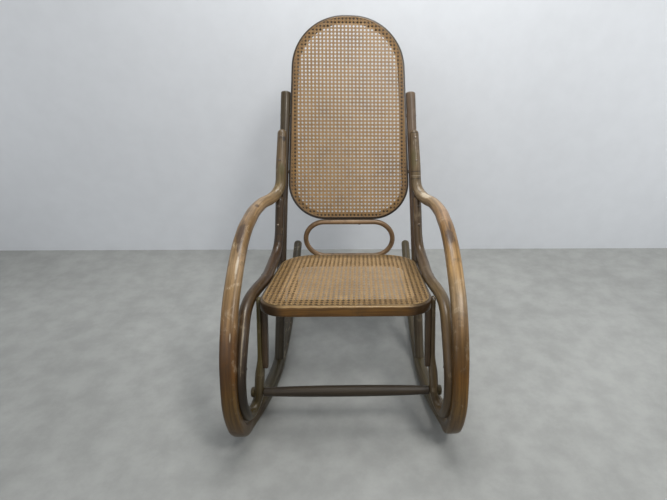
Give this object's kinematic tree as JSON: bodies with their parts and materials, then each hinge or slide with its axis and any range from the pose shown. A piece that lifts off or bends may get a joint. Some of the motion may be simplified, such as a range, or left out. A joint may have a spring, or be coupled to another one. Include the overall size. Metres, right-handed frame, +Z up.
{
  "type": "bentwood rocking chair",
  "caption": "Bentwood rocking chair with a caned seat and a tall caned back; each arm runs on as its scroll-fronted runner.",
  "frame": {"origin": "on the floor, under the middle of the chair's overall box", "axes": "+Z up, the sitter faces -Y, +X is the sitter's left"},
  "size_m": [0.6188, 1.0344, 1.0706],
  "materials": {
    "post_wood": "worn dark varnish, satin",
    "arm_wood": "worn honey-brown varnish, semi-gloss, darker at the floor",
    "scroll_wood": "worn dark olive-brown varnish, satin",
    "rail_wood": "reddish-brown varnish, satin",
    "cane": "natural woven cane, satin, honey-coloured",
    "steel": "dark oxidised steel"
  },
  "bodies": {
    "root": {"seat_cane": "cane", "back_cane_front": "cane", "back_cane_rear": "cane", "back_ring": "rail_wood", "seat_ring": "rail_wood", "back_loop": "scroll_wood", "front_stretcher": "rail_wood", "rear_stretcher": "rail_wood", "left_post": "post_wood", "left_arm_runner": "arm_wood", "left_scroll": "scroll_wood", "left_leg_block": "rail_wood", "left_stretcher_button": "rail_wood", "left_upper_back_washer": "steel", "left_upper_back_screw": "steel", "left_lower_back_washer": "steel", "left_lower_back_screw": "steel", "left_upper_arm_screw": "steel", "left_lower_arm_screw": "steel", "left_upper_scroll_screw": "steel", "left_lower_scroll_screw": "steel", "left_bow_screw": "steel", "left_foot_screw": "steel", "left_post_seat_screw": "steel", "left_scroll_seat_screw": "steel", "left_tail_seat_screw": "steel", "left_leg_screw": "steel", "right_post": "post_wood", "right_arm_runner": "arm_wood", "right_scroll": "scroll_wood", "right_leg_block": "rail_wood", "right_stretcher_button": "rail_wood", "right_upper_back_washer": "steel", "right_upper_back_screw": "steel", "right_lower_back_washer": "steel", "right_lower_back_screw": "steel", "right_upper_arm_screw": "steel", "right_lower_arm_screw": "steel", "right_upper_scroll_screw": "steel", "right_lower_scroll_screw": "steel", "right_bow_screw": "steel", "right_foot_screw": "steel", "right_post_seat_screw": "steel", "right_scroll_seat_screw": "steel", "right_tail_seat_screw": "steel", "right_leg_screw": "steel", "loop_top_screw": "steel", "loop_left_foot_screw": "steel", "loop_right_foot_screw": "steel"}
  },
  "joints": []
}
